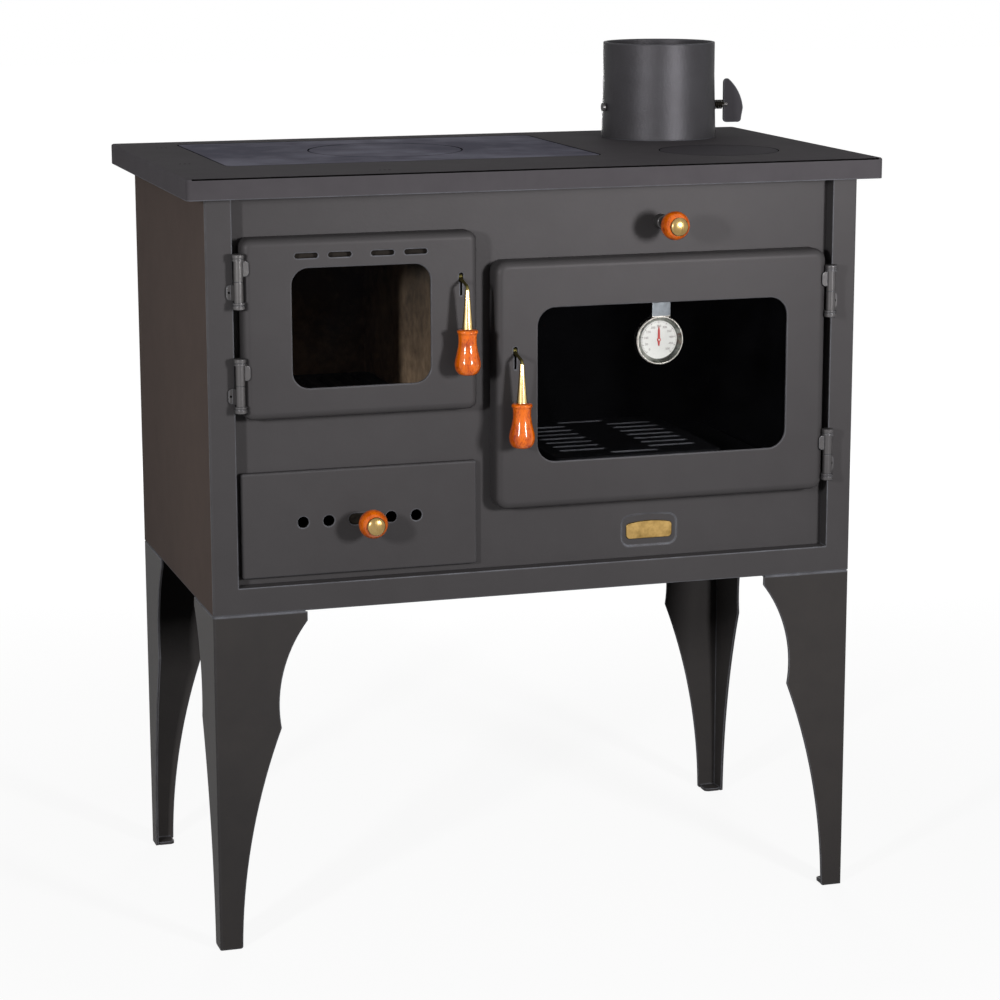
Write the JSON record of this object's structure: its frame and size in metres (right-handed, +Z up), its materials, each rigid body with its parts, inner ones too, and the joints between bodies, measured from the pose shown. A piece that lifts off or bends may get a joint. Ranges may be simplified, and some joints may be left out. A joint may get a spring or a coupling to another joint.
{
  "type": "wood cookstove",
  "caption": "Black steel wood cookstove on tall angle legs, with a glazed fire door, ash drawer, glazed oven door, cast cooking plate and flue collar.",
  "frame": {"origin": "on the floor under the middle of the whole stove", "axes": "+X to the viewer's right, -Y towards the viewer in front of the doors, +Z up"},
  "size_m": [0.687, 0.418, 0.843],
  "materials": {
    "black_paint": "satin black heat-resistant paint",
    "dark_cast": "ground cast iron",
    "fire_steel": "bare hot-rolled steel sheet, dark",
    "oven_steel": "black enamelled sheet",
    "bright_steel": "bright steel",
    "brass": "satin brass",
    "wood": "oiled turned hardwood",
    "glass": "clear stove glass",
    "rope": "knitted glass-fibre rope",
    "brick": "fire-clay brick",
    "dial": "white dial",
    "red": "red needle"
  },
  "bodies": {
    "stove": {"body_wrap": "black_paint", "bottom_panel": "black_paint", "front_frame": "black_paint", "front_panel": "black_paint", "badge_plate": "brass", "leg_front_left": "black_paint", "leg_front_right": "black_paint", "leg_back_left": "black_paint", "leg_back_right": "black_paint", "leg_bolts": "bright_steel", "top_plate": "black_paint", "flue_collar": "black_paint", "frame_knuckles": "black_paint", "hinge_pins": "black_paint", "latch_catches": "fire_steel", "bypass_bush": "black_paint", "smoke_baffle": "fire_steel", "drawer_runners": "fire_steel", "firebox_shell": "fire_steel", "fire_bricks": "brick", "fire_grate": "dark_cast", "oven_box": "oven_steel"},
    "fire_door": {"fire_door_shell": "black_paint", "fire_door_glass": "glass", "fire_glass_retainer": "fire_steel", "fire_door_gasket": "rope", "fire_door_knuckles": "black_paint", "fire_latch_bracket": "fire_steel"},
    "fire_latch": {"fire_latch_lever": "black_paint", "fire_latch_ferrule": "brass", "fire_latch_grip": "wood"},
    "oven_door": {"oven_door_shell": "black_paint", "oven_door_glass": "glass", "oven_glass_retainer": "fire_steel", "oven_door_gasket": "rope", "oven_door_knuckles": "black_paint", "oven_latch_bracket": "fire_steel", "thermometer_case": "bright_steel", "thermometer_dial": "dial"},
    "oven_latch": {"oven_latch_lever": "black_paint", "oven_latch_ferrule": "brass", "oven_latch_grip": "wood"},
    "needle": {"thermometer_needle": "red"},
    "ash_drawer": {"drawer_front": "black_paint", "drawer_liner": "fire_steel", "ash_pan": "fire_steel"},
    "air_slider": {"air_slider_plate": "fire_steel", "air_knob_ball": "wood", "air_knob_cap": "brass"},
    "bypass": {"bypass_damper": "black_paint", "bypass_knob_ball": "wood", "bypass_knob_cap": "brass"},
    "flue_damper": {"damper_shaft": "black_paint", "damper_disc": "black_paint", "damper_handle": "black_paint", "damper_spring": "bright_steel"},
    "plate": {"cooktop_plate": "dark_cast"},
    "lid": {"cooktop_lid": "dark_cast"},
    "cover": {"flue_cover": "dark_cast"},
    "tray": {"oven_tray": "oven_steel"}
  },
  "joints": [
    {"name": "fire_door_hinge", "type": "hinge", "parent": "stove", "child": "fire_door", "pos_m": [-0.2955, -0.1768, 0.6015], "axis": [0, 0, -1], "range_deg": [0, 115]},
    {"name": "oven_door_hinge", "type": "hinge", "parent": "stove", "child": "oven_door", "pos_m": [0.2945, -0.1768, 0.5363], "axis": [0, 0, 1], "range_deg": [0, 115]},
    {"name": "fire_latch_pivot", "type": "hinge", "parent": "fire_door", "child": "fire_latch", "pos_m": [-0.082, -0.1703, 0.643], "axis": [-1, 0, 0], "range_deg": [0, 35]},
    {"name": "oven_latch_pivot", "type": "hinge", "parent": "oven_door", "child": "oven_latch", "pos_m": [-0.0285, -0.1703, 0.57], "axis": [-1, 0, 0], "range_deg": [0, 35]},
    {"name": "thermometer_needle_turn", "type": "hinge", "parent": "oven_door", "child": "needle", "pos_m": [0.1215, -0.1618, 0.5725], "axis": [0, 1, 0], "range_deg": [-130, 130]},
    {"name": "ash_drawer_slide", "type": "slide", "parent": "stove", "child": "ash_drawer", "axis": [0, -1, 0], "range_m": [0, 0.24]},
    {"name": "air_slider_slide", "type": "slide", "parent": "ash_drawer", "child": "air_slider", "axis": [1, 0, 0], "range_m": [-0.011, 0]},
    {"name": "bypass_slide", "type": "slide", "parent": "stove", "child": "bypass", "axis": [0, -1, 0], "range_m": [0, 0.062]},
    {"name": "flue_damper_turn", "type": "hinge", "parent": "stove", "child": "flue_damper", "pos_m": [0.2215, 0.115, 0.776], "axis": [1, 0, 0], "range_deg": [0, 90]},
    {"name": "plate_lift", "type": "slide", "parent": "stove", "child": "plate", "axis": [0, 0, 1], "range_m": [0, 0.15]},
    {"name": "lid_lift", "type": "slide", "parent": "plate", "child": "lid", "axis": [0, 0, 1], "range_m": [0, 0.15]},
    {"name": "cover_lift", "type": "slide", "parent": "stove", "child": "cover", "axis": [0, 0, 1], "range_m": [0, 0.15]},
    {"name": "oven_tray_slide", "type": "slide", "parent": "stove", "child": "tray", "axis": [0, -1, 0], "range_m": [0, 0.02]}
  ]
}
